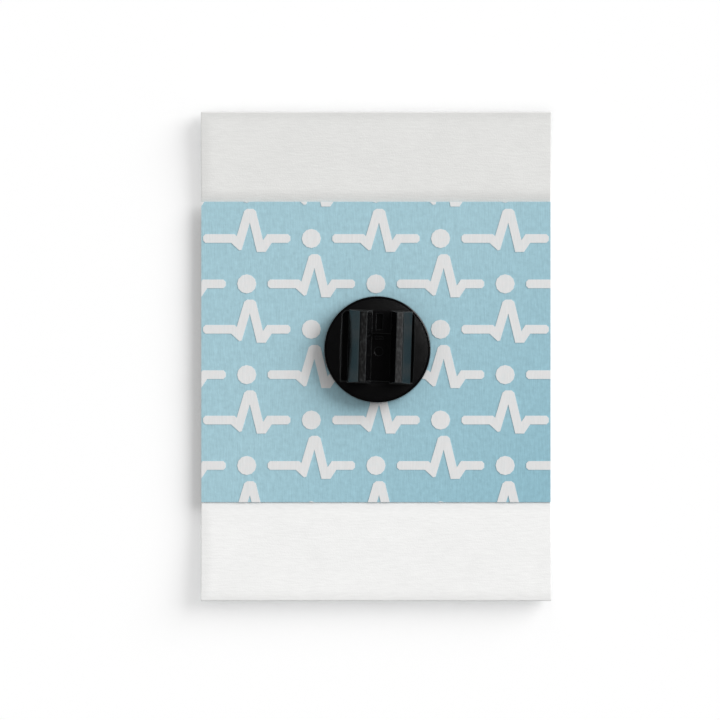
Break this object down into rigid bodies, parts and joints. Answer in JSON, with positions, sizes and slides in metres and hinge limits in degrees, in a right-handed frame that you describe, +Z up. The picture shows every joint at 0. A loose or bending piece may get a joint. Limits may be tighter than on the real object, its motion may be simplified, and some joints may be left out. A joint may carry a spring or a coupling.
{
  "type": "ecg electrode",
  "caption": "Rectangular foam monitoring electrode on its release film, with a blue printed label band and a round black clip connector for a lead wire.",
  "frame": {"origin": "middle of the underside, on the surface that the electrode lies on", "axes": "+Y along the sheet, +X across it, +Z up out of the connector's side"},
  "size_m": [0.04, 0.0562, 0.0053],
  "materials": {
    "clear_film": "clear film",
    "white_foam": "fine closed-cell foam",
    "gel": "moist gel",
    "silver_coating": "matte silver coating",
    "blue_nonwoven": "printed nonwoven",
    "white_ink": "matte print",
    "black_plastic": "moulded, semi-gloss"
  },
  "bodies": {
    "root": {"release_liner": "clear_film", "foam_backing": "white_foam", "gel_pad": "gel", "sensor_eyelet": "silver_coating", "printed_label": "blue_nonwoven", "label_print": "white_ink", "clip_connector": "black_plastic"}
  },
  "joints": []
}
